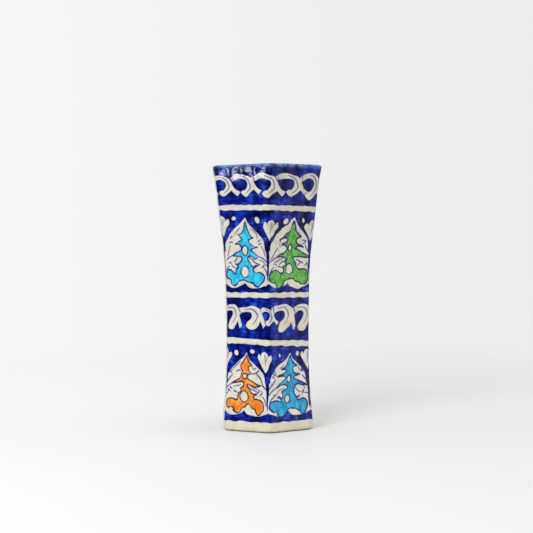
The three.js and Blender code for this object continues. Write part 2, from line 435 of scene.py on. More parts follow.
# How far each motif reaches to either side, in laps.
REACH = {"arch": 0.62, "dot": 0.2, "tulip": 0.3, "wave": 0.46}


class Painting:
    """Signed distances to each kind of paint over the whole outer skin."""

    def __init__(self, laps, heights):
        self.laps = laps
        self.heights = heights
        shape = (len(heights), len(laps))
        self.reserve = np.full(shape, -FAR)
        self.tint = np.full(shape, -FAR)
        self.edge = np.full(shape, -FAR)
        self.line = np.full(shape, -FAR)
        self.wash = np.full(shape, -FAR)
        self.cover = np.full(shape, -FAR)
        self.pigment = np.zeros(shape)

    def window(self, middle, reach, low, high, radius, seed):
        """The grid near a motif: where it lies, and x and y in millimetres from lap `middle`."""
        offset = (self.laps - middle + FACE_COUNT / 2) % FACE_COUNT - FACE_COUNT / 2
        columns = np.nonzero(np.abs(offset) < reach)[0]
        rows = np.nonzero((self.heights > low) & (self.heights < high))[0]
        lap, height = np.meshgrid(self.laps[columns], self.heights[rows])
        x = np.broadcast_to(offset[columns] * radius, lap.shape)
        x = x + wander(lap, height, seed, SHAKE, shortest=24)
        y = height + wander(lap, height, seed + 1, SHAKE, shortest=24)
        return np.ix_(rows, columns), x, y


def raise_to(layer, place, value):
    layer[place] = np.maximum(layer[place], value)


def brush_stroke(points, widest):
    """A stroke through points that starts and ends fine. Two points make a wedge-shaped dab."""
    if len(points) == 2:
        (ax, ay), (bx, by) = points
        return np.array([(ax, ay, 0.3), (bx, by, widest * 1.25)])
    curve = smooth_curve(points)
    swell = np.sin(math.pi * np.linspace(0.06, 0.94, len(curve))) ** 0.7
    return np.column_stack([curve, widest * (0.3 + 0.7 * swell)])


def paint_strokes(painting, place, x, y, motif, shaped):
    """A motif's blue lines and pale washes, each of them shaped from its points."""
    for layer, strokes in ((painting.line, motif["lines"]), (painting.wash, motif["washes"])):
        for points in strokes:
            raise_to(layer, place, stroke(x, y, shaped(points)))


def paint_arch(painting, row, index):
    height = row["tip"] - row["foot"]
    middle = row["start"] + index
    tree = TREES[row["trees"][index]]
    scale = np.array([row["radius"] / 100, height / 100])
    place, x, y = painting.window(middle, REACH["arch"], row["foot"] - FAR, row["tip"] + FAR,
                                  row["radius"], row["seed"] + 3 * index)
    y = y - row["foot"]
    trunk_x = x - tree["lean"] * scale[0]

    def local(points):
        points = np.array(points, float)
        points[:, :2] = points[:, :2] * scale
        return points

    arch = local(outline_from(ARCH_RUNS))
    arch[:, 0] += tree["lean"] * scale[0] * smooth_step(0.45, 1.0, arch[:, 1] / height)
    raise_to(painting.reserve, place, region(x, y, arch))
    raise_to(painting.cover, place, stroke(x, y, local(smooth_curve(DIVIDER))))
    tinted = region(trunk_x, y, local(outline_from(tree["outline"])))
    edges = TREE_EDGE_HALF_WIDTH - np.abs(tinted + 0.2)
    for cx, cy, rx, ry, lean in tree["ovals"]:
        oval = region(trunk_x, y, local(ellipse(cx, cy, rx, ry, lean)))
        edges = np.maximum(edges, OVAL_EDGE_HALF_WIDTH - np.abs(oval - 0.1))
        tinted = np.minimum(tinted, -oval)
    raise_to(painting.tint, place, tinted)
    raise_to(painting.edge, place, edges)
    paint_strokes(painting, place, trunk_x, y, tree,
                  lambda points: local(brush_stroke(points, LEAF_LINE_HALF_WIDTH)))
    near = np.abs(x) < 0.5 * row["radius"] + 0.1
    pigment = PIGMENTS[tree["colour"]]
    painting.pigment[place] = np.where(near, pigment, painting.pigment[place])


def paint_dot(painting, row, index):
    lap, height, radius_x, radius_z, lean = row["dots"][index]
    place, x, y = painting.window(lap, REACH["dot"], height - FAR, height + FAR, row["radius"],
                                  row["seed"])
    dot = ellipse(0, height, radius_x, radius_z, lean)
    raise_to(painting.reserve, place, region(x, y, dot))


def paint_tulip(painting, row, index):
    middle, foot, lean = row["tulips"][index]
    place, x, y = painting.window(middle, REACH["tulip"], foot - FAR, foot + TULIP_HEIGHT + FAR,
                                  row["radius"], row["seed"] + 70 + 3 * index)
    y = y - foot
    x = x - lean * y / TULIP_HEIGHT
    raise_to(painting.reserve, place, region(x, y, outline_from(TULIP_RUNS)))
    for line in TULIP_WASHES:
        raise_to(painting.wash, place, stroke(x, y, smooth_curve(line)))


def paint_wave(painting, band, index):
    start, bottom, top, lean = band["waves"][index]
    length = (band["waves"][index + 1][0] - start) * band["radius"]
    scroll = SCROLLS["ring" if index in band["ringed"] else "open"]
    middle = start + WAVE_MIDDLE * length / band["radius"]
    place, x, y = painting.window(middle, REACH["wave"], bottom - FAR, top + FAR, band["radius"],
                                  band["seed"] + 3 * index)
    x = x + WAVE_MIDDLE * length
    y = y - bottom
    x = x - lean / 100 * length * (1 - y / (top - bottom))
    scale = np.array([length / 100, (top - bottom) / 100, 1.0])
    outline = outline_from(scroll["outline"]) * scale[:2]
    raise_to(painting.reserve, place, region(x, y, outline) + WAVE_SWELL)
    paint_strokes(painting, place, x, y, scroll,
                  lambda points: smooth_curve(np.array(points) * scale))


def paint_lines(painting):
    lap, height = np.meshgrid(painting.laps, painting.heights)
    for middle, half_width, tilt, seed in CREAM_LINES:
        centre = middle + tilt * np.cos(2 * math.pi * (lap + 1) / FACE_COUNT)
        upper = centre + half_width + wander(lap, 0, seed, LINE_SHAKE, shortest=40)
        lower = centre - half_width + wander(lap, 0, seed + 1, LINE_SHAKE, shortest=40)
        inside = np.minimum(upper - height, height - lower)
        painting.reserve = np.maximum(painting.reserve, np.clip(inside, -FAR, FAR))
    foot_top = FOOT_BAND_TOP + wander(lap, 0, 61, FOOT_BAND_SHAKE, shortest=30)
    painting.reserve = np.maximum(painting.reserve, np.clip(foot_top - height, -FAR, FAR))


def painted(laps, heights):
    painting = Painting(laps, heights)
    for row in ARCH_ROWS:
        for index in range(FACE_COUNT):
            paint_arch(painting, row, index)
    painting.reserve = np.minimum(painting.reserve, -painting.cover)
    for row in ARCH_ROWS:
        for index in range(FACE_COUNT):
            paint_tulip(painting, row, index)
        for index in range(len(row["dots"])):
            paint_dot(painting, row, index)
    for band in SCROLL_BANDS:
        for index in range(len(band["waves"]) - 1):
            paint_wave(painting, band, index)
    paint_lines(painting)
    return painting


# ---------------------------------------------------------------------------------------------
# The walls' surface.

STATION_Z, STATION_R = np.array(CORNER_STATIONS, float).T
NEIGHBOUR = np.arange(len(STATION_Z))
BEFORE, AFTER = np.maximum(NEIGHBOUR - 1, 0), np.minimum(NEIGHBOUR + 1, len(STATION_Z) - 1)
STATION_SLOPE = (STATION_R[AFTER] - STATION_R[BEFORE]) / (STATION_Z[AFTER] - STATION_Z[BEFORE])


def corner_radius(z):
    """Distance from the axis to the hexagon's corner, a smooth cubic through the stations."""
    i = np.clip(np.searchsorted(STATION_Z, z, side="right") - 1, 0, len(STATION_Z) - 2)
    span = STATION_Z[i + 1] - STATION_Z[i]
    x = (z - STATION_Z[i]) / span
    start = (1 + 2 * x) * (1 - x) ** 2 * STATION_R[i] + x * (1 - x) ** 2 * STATION_SLOPE[i] * span
    end = x ** 2 * (3 - 2 * x) * STATION_R[i + 1] - x ** 2 * (1 - x) * STATION_SLOPE[i + 1] * span
    return start + end


def apothem(z):
    return corner_radius(z) * math.cos(HALF_FACE_ANGLE)


def reed_depth(z):
    flare = smooth_step(REED_FLARE_START, HEIGHT, z)
    fade = smooth_step(REED_FADE_START, REED_FADE_END, z)
    return fade * (REED_DEPTH_BODY + (REED_DEPTH_RIM - REED_DEPTH_BODY) * flare)


def wall_section():
    """Rows up the outside, over the lip and down the inside: height, inset, share of the reeds."""
    rows = []
    for turn in np.linspace(0, math.pi / 2, FOOT_ROWS, endpoint=False):
        rows.append((FOOT_ROUNDING * (1 - math.cos(turn)), FOOT_ROUNDING * (1 - math.sin(turn)), 1))
    lip_start = HEIGHT - LIP_RISE
    count = round((lip_start - FOOT_ROUNDING) / SKIN_ROW_STEP)
    for z in np.linspace(FOOT_ROUNDING, lip_start, count, endpoint=False):
        rows.append((z, 0, 1))
    for turn in np.linspace(0, math.pi, LIP_ROWS):
        inset = WALL_THICKNESS / 2 * (1 - math.cos(turn))
        rows.append((lip_start + LIP_RISE * math.sin(turn), inset, (1 + math.cos(turn)) / 2))
    count = round((lip_start - FLOOR_TOP) / INNER_ROW_STEP)
    for z in np.linspace(lip_start, FLOOR_TOP, count + 1)[1:]:
        rows.append((z, WALL_THICKNESS, 0))
    rows.append((0, WALL_THICKNESS + apothem(0.0) - apothem(FLOOR_TOP), 0))
    return np.array(rows, float)


def reed_height(across):
    """0 in each valley to 1 on each crest, where across runs from -1 to 1 over a face."""
    local = (across + 1) / 2 * REEDS_PER_FACE
    local = local - np.floor(local)
    return 4 * local * (1 - local)


def wall_surface(section, laps):
    """Positions of the whole ring of walls, by row and column."""
    z, inset, reed = section.T[:, :, None]
    face = np.floor(laps)
    across = 2 * (laps - face) - 1
    distance = apothem(z) - inset
    reach = distance + reed * reed_depth(z) * reed_height(across)
    reach = reach + wander(laps, z, 5, SURFACE_WANDER, longest=1, shortest=5)
    reach = reach + reed * LIP_FLARE * smooth_step(HEIGHT - 17, HEIGHT - 1, z)
    sideways = across * distance * math.tan(HALF_FACE_ANGLE)
    normal = FIRST_NORMAL_ANGLE + 2 * HALF_FACE_ANGLE * face
    ring = (reach + 1j * sideways) * np.exp(1j * normal)
    ring = soften(ring, distance, z)
    rim = smooth_step(HEIGHT - 60, HEIGHT, z)
    drop = 0.5 + 0.5 * np.cos(2 * math.pi * (laps - 0.4) / FACE_COUNT * 2)
    height = z - rim * (RIM_DIP * (1 - drop) + REED_DIP * (1 - reed_height(across)))
    return np.stack([ring.real, ring.imag, height + 0 * ring.real], axis=-1)


def soften(ring, distance, z):
    """Rounds the corners and the valleys of each row, as glaze does."""
    spread = CORNER_SOFTNESS + FOOT_SOFTNESS * (1 - smooth_step(8, 40, z))
    spread = spread + FOOT_EDGE_SOFTNESS * (1 - smooth_step(0, 7, z))
    spacing = 2 * distance * math.tan(HALF_FACE_ANGLE) / COLUMNS_PER_FACE
    frequency = np.fft.fftfreq(ring.shape[1])
    softer = np.exp(-0.5 * (2 * math.pi * frequency * spread / spacing) ** 2)
    return np.fft.ifft(np.fft.fft(ring, axis=1) * softer, axis=1)


# ---------------------------------------------------------------------------------------------
# Meshes.

def new_object(name, mesh):
    piece = bpy.data.objects.new(name, mesh)
    bpy.context.scene.collection.objects.link(piece)
    return piece


def grid_faces(rows, columns):
    """Quads of a grid whose rows close on themselves and whose columns don't."""
    row, column = np.meshgrid(np.arange(rows), np.arange(columns - 1), indexing="ij")
    above = (row + 1) % rows
    corners = [row * columns + column, row * columns + column + 1,
               above * columns + column + 1, above * columns + column]
    return np.stack(corners, axis=-1).reshape(-1, 4)


def add_layer(mesh, name, kind, values):
    layer = mesh.attributes.new(name, kind, "POINT")
    key = "vector" if kind == "FLOAT_VECTOR" else "value"
    layer.data.foreach_set(key, np.ascontiguousarray(values, np.float32).ravel())


def add_bake_map(mesh, uv):
    layer = mesh.uv_layers.new(name="OFBake")
    layer.uv.foreach_set("vector", np.ascontiguousarray(uv, np.float32).ravel())


def panel_mesh(name, positions, layers):
    rows, columns = positions.shape[:2]
    faces = grid_faces(rows, columns)
    left_end = list(range(0, rows * columns, columns))
    right_end = [index + columns - 1 for index in reversed(left_end)]
    mesh = bpy.data.meshes.new(name)
    mesh.from_pydata(positions.reshape(-1, 3) * MM, [], faces.tolist() + [left_end, right_end])
    smooth = np.ones(len(mesh.polygons), bool)
    smooth[-2:] = False
    mesh.polygons.foreach_set("use_smooth", smooth)
    for layer, (kind, values) in layers.items():
        add_layer(mesh, layer, kind, values)
    return mesh


# The bake image: a margin all round, the skin up to MAP_SKIN across it, then a strip for each end.
MAP_MARGIN = 0.005
MAP_SKIN = 0.965
MAP_ENDS = (0.974, 0.987)
MAP_END_WIDTH = 0.01


def panel_map(positions):
    """Where each corner of the mesh lies in the bake image: the skin, then both mitred ends."""
    rows, columns = positions.shape[:2]
    step = np.linalg.norm(np.diff(positions[:, columns // 2], axis=0), axis=1)
    along = np.concatenate([[0], np.cumsum(step)])
    along = along / (along[-1] + WALL_THICKNESS / 2)
    row, column = np.meshgrid(np.arange(rows), np.arange(columns - 1), indexing="ij")
    left = MAP_MARGIN + MAP_SKIN * column / (columns - 1)
    right = MAP_MARGIN + MAP_SKIN * (column + 1) / (columns - 1)
    low = tall_in_map(along[row])
    high = tall_in_map(np.where(row + 1 < rows, along[(row + 1) % rows], 1.0))
    quads = np.stack([left, low, right, low, right, high, left, high], axis=-1).reshape(-1, 2)
    end = positions[:, 0]
    depth = np.hypot(end[:, 0], end[:, 1])
    depth = MAP_END_WIDTH * (depth - depth.min()) / np.ptp(depth)
    tall = tall_in_map(end[:, 2] / HEIGHT)
    first = np.column_stack([MAP_ENDS[0] + depth, tall])
    second = np.column_stack([MAP_ENDS[1] + depth, tall])[::-1]
    return np.vstack([quads, first, second])


def tall_in_map(height):
    return 0.003 + 0.994 * height


# ---------------------------------------------------------------------------------------------
# Materials.

def srgb(red, green, blue):
    """A colour from its usual 0 to 255 values."""
    linear = [((c / 255 + 0.055) / 1.055) ** 2.4 if c > 10 else c / 255 / 12.92
              for c in (red, green, blue)]
    return (*linear, 1.0)


class Nodes:
    """Short forms for building the node tree of a material or of the world."""

    def __init__(self, owner):
        owner.use_nodes = True
        self.owner = owner
        self.tree = owner.node_tree
        self.shader = self.tree.nodes.get("Principled BSDF")
        self.coordinates = self.add("ShaderNodeTexCoord").outputs
        self.place = self.coordinates["Object"]

    def add(self, kind):
        return self.tree.nodes.new(kind)

    def put(self, socket, value):
        if isinstance(value, bpy.types.NodeSocket):
            self.tree.links.new(value, socket)
        elif value is not None:
            socket.default_value = value

    def math(self, operation, a, b):
        node = self.add("ShaderNodeMath")
        node.operation = operation
        self.put(node.inputs[0], a)
        self.put(node.inputs[1], b)
        return node.outputs[0]

    def plus(self, a, b):
        return self.math("ADD", a, b)

    def minus(self, a, b):
        return self.math("SUBTRACT", a, b)

    def times(self, a, b):
        return self.math("MULTIPLY", a, b)

    def split(self, vector):
        node = self.add("ShaderNodeSeparateXYZ")
        self.put(node.inputs[0], vector)
        return node.outputs[:3]

    def remap(self, value, low, high, new_low=0.0, new_high=1.0):
        """A smooth step from new_low where value is low to new_high where it is high."""
        node = self.add("ShaderNodeMapRange")
        node.interpolation_type = "SMOOTHSTEP"
        for socket, number in zip(node.inputs[1:5], (low, high, new_low, new_high)):
            socket.default_value = number
        self.put(node.inputs[0], value)
        return node.outputs[0]

    def mix(self, factor, a, b):
        node = self.add("ShaderNodeMix")
        node.data_type = "RGBA"
        self.put(node.inputs[0], factor)
        self.put(node.inputs[6], a)
        self.put(node.inputs[7], b)
        return node.outputs[2]

    def noise(self, size, stretch=(1, 1, 1), detail=2.0, roughness=0.5, warp=0.0, seed=0.0):
        """Noise with features of about `size` millimetres, stretched along the axes."""
        mapping = self.add("ShaderNodeMapping")
        mapping.inputs["Scale"].default_value = [1 / (size * MM * s) for s in stretch]
        mapping.inputs["Location"].default_value = (seed, seed * 0.7, seed * 1.3)
        self.put(mapping.inputs["Vector"], self.place)
        node = self.add("ShaderNodeTexNoise")
        node.inputs["Scale"].default_value = 1.0
        node.inputs["Detail"].default_value = detail
        node.inputs["Roughness"].default_value = roughness
        node.inputs["Distortion"].default_value = warp
        self.put(node.inputs["Vector"], mapping.outputs[0])
        return node.outputs["Fac"]

    def ramp(self, factor, stops):
        """A colour ramp. Stops are positions and colours from 0 to 255."""
        node = self.add("ShaderNodeValToRGB")
        elements = node.color_ramp.elements
        while len(elements) < len(stops):
            elements.new(0.5)
        for element, (position, colour) in zip(elements, stops):
            element.position = position
            element.color = srgb(*colour)
        self.put(node.inputs[0], factor)
        return node.outputs[0]

    def attribute(self, name):
        node = self.add("ShaderNodeAttribute")
        node.attribute_name = name
        return node.outputs

    def bump(self, height, distance, normal=None):
        node = self.add("ShaderNodeBump")
        node.inputs["Distance"].default_value = distance * MM
        self.put(node.inputs["Height"], height)
        self.put(node.inputs["Normal"], normal)
        return node.outputs[0]


def new_material(name):
    return Nodes(bpy.data.materials.new(name))


def cream_colour(n):
    """Tin glaze: warm white, faintly mottled, with a few fine specks."""
    mottle = n.noise(9, detail=3)
    cream = n.ramp(mottle, [(0.3, (216, 209, 188)), (0.5, (229, 223, 204)), (0.72, (236, 232, 217))])
    specks = n.remap(n.noise(1.1, detail=1, seed=4.0), 0.79, 0.83)
    return n.mix(n.times(specks, 0.45), cream, srgb(120, 96, 70))


def cobalt_colour(n, reserve, height):
    """Brushed cobalt: bright where the brush ran dry, lighter on the reeds' crests and darker in their
    valleys, with painted shade in a band under the lip. The valleys are darker partly from glaze pooled
    in them and partly from painted shade.
    """
    brushed = n.noise(5, stretch=(2.6, 2.6, 0.7), detail=4, roughness=0.6, warp=0.6)
    patches = n.noise(15, detail=2, seed=2.0)
    upright = n.noise(4, stretch=(0.9, 0.9, 3.5), detail=3, warp=0.4, seed=7.0)
    hairs = n.noise(1.5, stretch=(2.4, 2.4, 0.8), detail=2, seed=8.0)
    crest = n.attribute("crest")["Fac"]
    # How thin the cobalt lies, with painted shade taken off it in the valleys and under the lip.
    thinness_and_painted_shade = n.times(brushed, 0.36)
    thinness_and_painted_shade = n.plus(thinness_and_painted_shade, n.times(patches, 0.38))
    thinness_and_painted_shade = n.plus(thinness_and_painted_shade, n.times(upright, 0.2))
    thinness_and_painted_shade = n.plus(thinness_and_painted_shade, n.times(hairs, 0.06))
    # Lighter on the reeds' crests and darker in their valleys: partly glaze that thins over the crests
    # and pools in the valleys, partly painted shade in the valleys.
    thinness_and_painted_shade = n.plus(thinness_and_painted_shade, n.times(n.minus(crest, 0.5), 0.05))
    outline = n.remap(reserve, -1.9, -0.8)
    thinness_and_painted_shade = n.minus(thinness_and_painted_shade, n.times(outline, 0.03))
    # Painted shade: the cobalt is darkened in a band under the lip.
    painted_shade_under_lip = n.remap(height, (HEIGHT - 18) * MM, (HEIGHT - 8) * MM)
    thinness_and_painted_shade = n.minus(thinness_and_painted_shade, n.times(painted_shade_under_lip, 0.035))
    return n.ramp(thinness_and_painted_shade, [(0.4, (3, 4, 36)), (0.455, (4, 12, 80)), (0.506, (6, 22, 124)),
                             (0.56, (14, 48, 170)), (0.64, (46, 108, 228))])


def ground_colour(n, reserve, height):
    """Cream where the cobalt was left off, with a blue halo at its edge, and cobalt elsewhere."""
    # The cream turns darker and yellower towards the foot.
    darker_towards_foot = n.times(n.remap(height, 14 * MM, 9 * MM), 0.3)
    cream = n.mix(darker_towards_foot, cream_colour(n), srgb(202, 188, 156))
    halo = n.times(n.remap(reserve, 1.1, 0.1), 0.32)
    cream = n.mix(halo, cream, srgb(112, 140, 222))
    return n.mix(n.remap(reserve, -0.2, 0.2), cobalt_colour(n, reserve, height), cream)


def tint_colour(n, pigment):
    """The transparent colours, each a little uneven from the brush."""
    watery = n.noise(4, stretch=(1, 1, 1.8), detail=3, warp=0.5, seed=9.0)
    light = n.ramp(pigment, [(0.0, (62, 186, 226)), (0.3, (76, 216, 246)),
                             (0.6, (124, 202, 96)), (1.0, (252, 172, 76))])
    deep = n.ramp(pigment, [(0.0, (34, 140, 188)), (0.3, (40, 178, 224)),
                            (0.6, (72, 156, 66)), (1.0, (238, 124, 32))])
    return n.mix(n.remap(watery, 0.35, 0.65), light, deep)


def add_brushwork(n, colour, wash, line, edge, pigment, thick):
    """Pale washes, blue lines and the trees' dark outlines, over the colours."""
    washed = n.times(n.remap(wash, -0.3, 0.25), 0.8)
    colour = n.mix(washed, colour, srgb(70, 98, 172))
    ink = n.ramp(thick, [(0.38, (10, 22, 128)), (0.62, (36, 74, 200))])
    colour = n.mix(n.times(n.remap(line, -0.25, 0.2), 0.92), colour, ink)
    outline = n.ramp(pigment, [(0.0, (8, 48, 150)), (0.3, (8, 48, 168)),
                               (0.6, (6, 40, 110)), (1.0, (70, 22, 24))])
    outline = n.mix(n.remap(thick, 0.4, 0.65), srgb(8, 16, 96), outline)
    return n.mix(n.times(n.remap(edge, -0.25, 0.2), 0.94), colour, outline)


def add_edges(n, colour, reserve, height, bare, thick):
    """Thin blue glaze on the lip, a painted shadow along the foot's bottom edge, and bare clay where
    there is no glaze.
    """
    lip = n.remap(height, (HEIGHT - 6.5) * MM, (HEIGHT - 0.8) * MM)
    lip = n.times(lip, n.remap(n.noise(9, detail=3, seed=17.0), 0.4, 0.6, 0.2, 0.95))
    thin = n.times(lip, n.remap(reserve, 0.0, -0.6))
    colour = n.mix(thin, colour, srgb(104, 146, 208))
    # Painted shadow: a dark brown band along the bottom edge of the foot, where it stands on the table.
    painted_contact_shadow = n.remap(n.plus(height, n.times(thick, 3 * MM)), 4.2 * MM, 1.8 * MM)
    colour = n.mix(n.times(painted_contact_shadow, 0.8), colour, srgb(98, 80, 56))
    clay = n.ramp(n.noise(3, detail=5), [(0.3, (176, 132, 100)), (0.7, (206, 168, 134))])
    return n.mix(bare, colour, clay)


def glaze_relief(n, height, reserve, edge):
    """Slow waves, ripples near the lip, a fine orange peel, and paint that stands a little proud."""
    waves = n.bump(n.noise(11, detail=1, seed=30.0), 0.32)
    near_lip = n.remap(height, (HEIGHT - 30) * MM, (HEIGHT - 12) * MM)
    ripples = n.bump(n.times(n.noise(6, detail=1, seed=33.0), near_lip), 0.55, normal=waves)
    peel = n.bump(n.noise(1.5, detail=2, seed=31.0), 0.035, normal=ripples)
    coats = n.minus(n.remap(edge, -0.5, 0.4), n.remap(reserve, -0.5, 0.5))
    return n.bump(coats, 0.05, normal=peel)


def painted_glaze():
    n = new_material("painted_glaze")
    reserve, tint, edge = n.split(n.attribute("paint")["Vector"])
    wash, line, pigment = n.split(n.attribute("lines")["Vector"])
    ragged = n.times(n.minus(n.noise(1.6, detail=2, seed=12.0), 0.5), 0.7)
    reserve, tint, edge, wash, line = (n.plus(at, ragged) for at in (reserve, tint, edge, wash, line))
    loaded = n.minus(n.noise(6, detail=1, seed=13.0), 0.5)
    edge = n.plus(edge, n.times(loaded, 1.5))
    thick = n.noise(5, detail=2, seed=15.0)
    bare = n.attribute("bare")["Fac"]
    height = n.split(n.place)[2]

    colour = ground_colour(n, reserve, height)
    colour = n.mix(n.remap(tint, -0.2, 0.2), colour, tint_colour(n, pigment))
    colour = add_brushwork(n, colour, wash, line, edge, pigment, thick)
    colour = add_edges(n, colour, reserve, height, bare, thick)
    n.put(n.shader.inputs["Base Color"], colour)

    gloss = n.remap(n.noise(7, detail=3, seed=20.0), 0.3, 0.7, 0.07, 0.16)
    n.put(n.shader.inputs["Roughness"], n.math("MAXIMUM", gloss, n.times(bare, 0.85)))
    n.shader.inputs["IOR"].default_value = 1.5
    n.put(n.shader.inputs["Normal"], glaze_relief(n, height, reserve, edge))
    return n.owner


def cream_glaze():
    n = new_material("cream_glaze")
    n.put(n.shader.inputs["Base Color"], cream_colour(n))
    n.put(n.shader.inputs["Roughness"], n.remap(n.noise(7, detail=3), 0.3, 0.7, 0.12, 0.24))
    n.put(n.shader.inputs["Normal"], n.bump(n.noise(9, detail=2), 0.4))
    return n.owner


def bare_clay():
    n = new_material("bare_clay")
    grain = n.noise(2.2, detail=6, roughness=0.65)
    clay = n.ramp(grain, [(0.3, (176, 132, 100)), (0.7, (208, 170, 136))])
    n.put(n.shader.inputs["Base Color"], clay)
    n.put(n.shader.inputs["Roughness"], n.remap(grain, 0.3, 0.7, 0.75, 0.92))
    n.put(n.shader.inputs["Normal"], n.bump(grain, 0.25))
    return n.owner


# ---------------------------------------------------------------------------------------------
# Camera, light and floor.

CAMERA_DISTANCE = 1465.0
CAMERA_HEIGHT = 217.6
CAMERA_TURN = math.radians(2.9)
CAMERA_PITCH = math.radians(1.29)
CAMERA_ROLL = math.radians(-0.27)
IMAGE_WIDTH = 533
FOCAL_LENGTH = 1272  # in the same units as IMAGE_WIDTH
SENSOR_WIDTH = 36

KEY_POSITION = (-1.9, -3.3, 2.45)
KEY_TARGET = (0, 0, 0.15)
KEY_SIZE = 2.3
KEY_POWER = 98

# The studio's brightness, and where each part of it begins and reaches full strength. Edges are
# parts of a direction of length 1, with X to the right, Y to the back and Z up.
DIM_WALL = 0.03
BRIGHT_CEILING = 0.85
CEILING_EDGE = (0.12, 0.6)
WARM_RIGHT_WALL = 0.46
WARM_WHITE = (1.0, 0.9, 0.74, 1.0)
RIGHT_WALL_EDGE = (0.5, 0.92)
PALE_BACKDROP = 0.9
BACKDROP_EDGE = (0.8, 0.93)
LOW_WINDOW = 10.5
WINDOW_EDGES = {"right": (-0.58, -0.7), "left": (-0.95, -0.86), "top": (-0.25, -0.33),
                "back": (0.0, -0.25)}

# What the camera sees behind the vase, which fades a little to the right.
BACKGROUND = (246, 247, 246)
BACKGROUND_EDGE = (-0.22, 0.2)
BACKGROUND_FADE = 0.915

# The table top, in metres.
NEAR_FLOOR = 0.25
WHOLE_FLOOR = 1.3
FLOOR_FADE = (1.25, 0.45)
FLOOR_SIDES = 64


def make_camera():
    camera = bpy.data.cameras.new("camera")
    camera.sensor_width = SENSOR_WIDTH
    camera.lens = SENSOR_WIDTH * FOCAL_LENGTH / IMAGE_WIDTH
    holder = new_object("camera", camera)
    turn = Matrix.Rotation(-CAMERA_TURN, 4, "Z")
    aim = Matrix.Rotation(math.pi / 2 - CAMERA_PITCH, 4, "X") @ Matrix.Rotation(CAMERA_ROLL, 4, "Z")
    spot = Matrix.Translation((0, -CAMERA_DISTANCE * MM, CAMERA_HEIGHT * MM))
    holder.matrix_world = turn @ spot @ aim
    bpy.context.scene.camera = holder


def make_key_light():
    light = bpy.data.lights.new("key", "AREA")
    light.size = KEY_SIZE
    light.energy = KEY_POWER
    holder = new_object("key", light)
    holder.location = KEY_POSITION
    backwards = Vector(KEY_POSITION) - Vector(KEY_TARGET)
    holder.rotation_euler = backwards.to_track_quat("Z", "Y").to_euler()
    holder.visible_camera = False


def make_world():
    """A dim studio with a bright ceiling, a warm wall to the right, a pale backdrop and a low
    window to the left. The camera sees a plain pale background instead."""
    n = Nodes(bpy.data.worlds.new("studio"))
    x, y, z = n.split(n.coordinates["Generated"])
    across = n.times(n.remap(x, *WINDOW_EDGES["right"], 0.0, LOW_WINDOW),
                     n.remap(x, *WINDOW_EDGES["left"]))
    down = n.times(n.remap(z, *WINDOW_EDGES["top"]), n.remap(y, *WINDOW_EDGES["back"]))
    ceiling = n.remap(z, *CEILING_EDGE, DIM_WALL, BRIGHT_CEILING)
    studio = n.plus(ceiling, n.times(across, down))
    studio = n.plus(studio, n.remap(y, *BACKDROP_EDGE, 0.0, PALE_BACKDROP))
    right_wall = n.remap(x, *RIGHT_WALL_EDGE, 0.0, WARM_RIGHT_WALL)
    lit = n.add("ShaderNodeAddShader")
    n.put(lit.inputs[0], background(n, (1, 1, 1, 1), studio))
    n.put(lit.inputs[1], background(n, WARM_WHITE, right_wall))
    seen = background(n, srgb(*BACKGROUND), n.remap(x, *BACKGROUND_EDGE, 1.0, BACKGROUND_FADE))
    choice = n.add("ShaderNodeMixShader")
    n.put(choice.inputs[0], n.add("ShaderNodeLightPath").outputs["Is Camera Ray"])
    n.put(choice.inputs[1], lit.outputs[0])
    n.put(choice.inputs[2], seen)
    n.put(n.tree.nodes["World Output"].inputs["Surface"], choice.outputs[0])
    bpy.context.scene.world = n.owner
    bpy.context.scene.view_settings.view_transform = "Standard"


def background(n, colour, strength):
    node = n.add("ShaderNodeBackground")
    node.inputs["Color"].default_value = colour
    n.put(node.inputs["Strength"], strength)
    return node.outputs[0]


def pale_floor():
    n = new_material("pale_floor")
    # Painted light: the floor is coloured lighter on the left and darker on the right, as if lit more
    # from the left.
    painted_light_falloff = n.remap(n.split(n.place)[0], -0.5, 0.4)
    n.put(n.shader.inputs["Base Color"],
          n.ramp(painted_light_falloff, [(0.0, (246, 247, 246)), (1.0, (235, 236, 235))]))
    n.shader.inputs["Roughness"].default_value = 0.7
    n.shader.inputs["Specular IOR Level"].default_value = 0.1
    distance = n.add("ShaderNodeVectorMath")
    distance.operation = "LENGTH"
    n.put(distance.inputs[0], n.place)
    n.put(n.shader.inputs["Alpha"], n.remap(distance.outputs["Value"], *FLOOR_FADE))
    return n.owner


def make_floor():
    """A pale table top whose edge melts into the background. Its outer part stays out of the
    glaze's reflections, as if the room beyond the table were dim."""
    material = pale_floor()
    for name, inner, outer, rings in (("floor_near", 0.0, NEAR_FLOOR, 3),
                                      ("floor_far", NEAR_FLOOR, WHOLE_FLOOR, 10)):
        floor = new_object(name, ring_mesh(name, inner, outer, rings))
        floor.data.materials.append(material)
        floor.visible_glossy = inner == 0


def ring_mesh(name, inner, outer, rings):
    """A flat ring of quads, or a disc where the inner radius is 0."""
    points, faces = [], []
    for ring in range(rings + 1):
        reach = max(inner + (outer - inner) * ring / rings, 0.01)
        for side in range(FLOOR_SIDES):
            turn = 2 * math.pi * side / FLOOR_SIDES
            points.append((reach * math.cos(turn), reach * math.sin(turn), 0))
    for ring in range(rings):
        for side in range(FLOOR_SIDES):
            a, b = ring * FLOOR_SIDES + side, ring * FLOOR_SIDES + (side + 1) % FLOOR_SIDES
            faces.append((a, a + FLOOR_SIDES, b + FLOOR_SIDES, b))
    if inner == 0:
        faces.append(tuple(range(FLOOR_SIDES)))
    mesh = bpy.data.meshes.new(name)
    mesh.from_pydata(points, [], faces)
    return mesh


# ---------------------------------------------------------------------------------------------
# Assembly.

